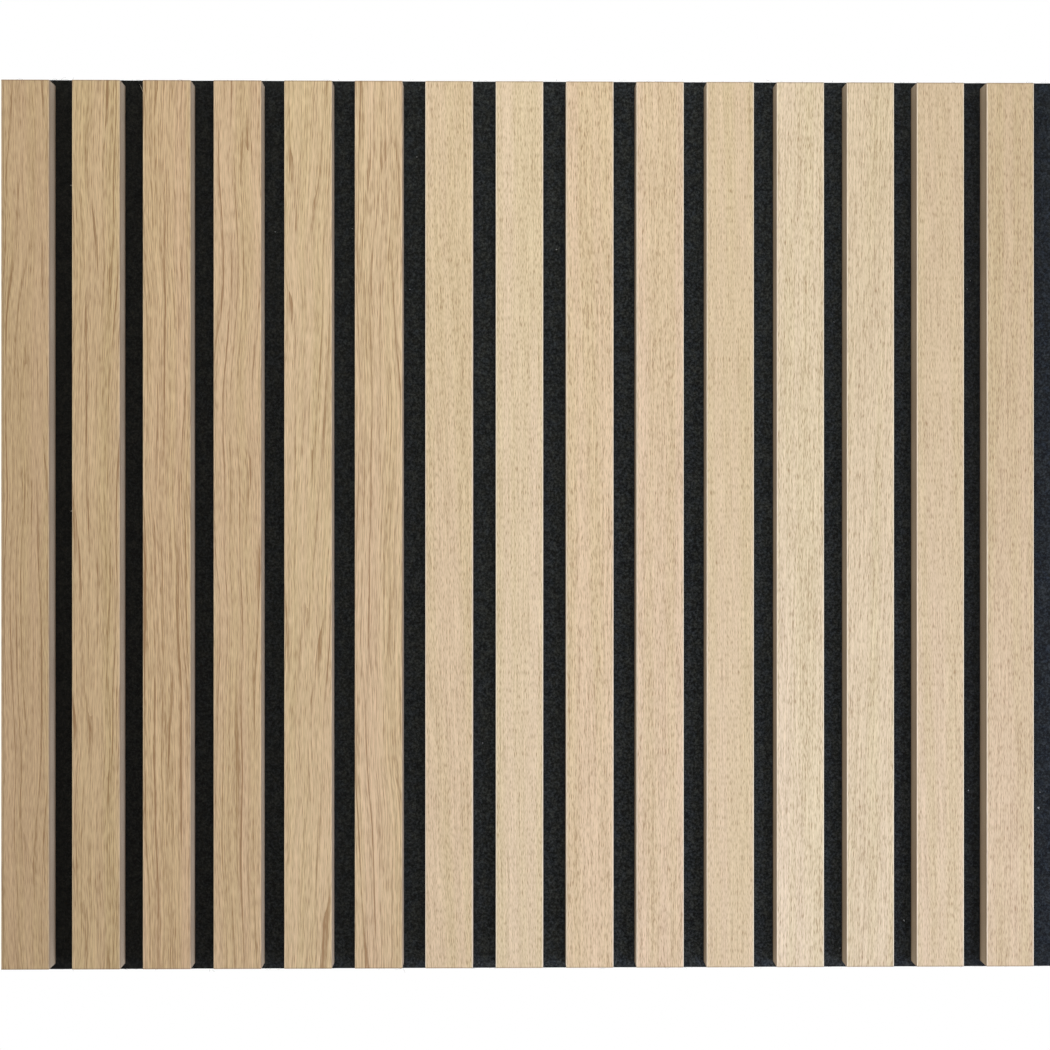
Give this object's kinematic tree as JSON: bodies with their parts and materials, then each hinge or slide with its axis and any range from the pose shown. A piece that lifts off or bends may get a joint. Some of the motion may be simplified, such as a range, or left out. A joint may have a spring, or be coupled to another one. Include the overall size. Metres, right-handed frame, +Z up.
{
  "type": "acoustic slat wall panel",
  "caption": "Wall panel of upright oak-veneered MDF slats on a black felt board, which soaks up sound in the gaps and is screwed or glued to a wall.",
  "frame": {"origin": "centre of the felt board's wall side", "axes": "+Y into the wall, slats look towards -Y; +Z up along the slats; +X along the wall, towards the bare felt strip"},
  "size_m": [0.6026, 0.021, 0.5114],
  "materials": {
    "felt": "matte black needle-punched polyester felt board",
    "raw_mdf": "raw sawn MDF, fine and grainless",
    "oak_veneer": "sanded oak veneer, matte",
    "staple_wire": "galvanised flat wire"
  },
  "bodies": {
    "root": {"felt_backing": "felt", "slat_core_01": "raw_mdf", "slat_core_02": "raw_mdf", "slat_core_03": "raw_mdf", "slat_core_04": "raw_mdf", "slat_core_05": "raw_mdf", "slat_core_06": "raw_mdf", "slat_core_07": "raw_mdf", "slat_core_08": "raw_mdf", "slat_core_09": "raw_mdf", "slat_core_10": "raw_mdf", "slat_core_11": "raw_mdf", "slat_core_12": "raw_mdf", "slat_core_13": "raw_mdf", "slat_core_14": "raw_mdf", "slat_core_15": "raw_mdf", "slat_veneer_01": "oak_veneer", "slat_veneer_02": "oak_veneer", "slat_veneer_03": "oak_veneer", "slat_veneer_04": "oak_veneer", "slat_veneer_05": "oak_veneer", "slat_veneer_06": "oak_veneer", "slat_veneer_07": "oak_veneer", "slat_veneer_08": "oak_veneer", "slat_veneer_09": "oak_veneer", "slat_veneer_10": "oak_veneer", "slat_veneer_11": "oak_veneer", "slat_veneer_12": "oak_veneer", "slat_veneer_13": "oak_veneer", "slat_veneer_14": "oak_veneer", "slat_veneer_15": "oak_veneer", "back_staples": "staple_wire"}
  },
  "joints": []
}
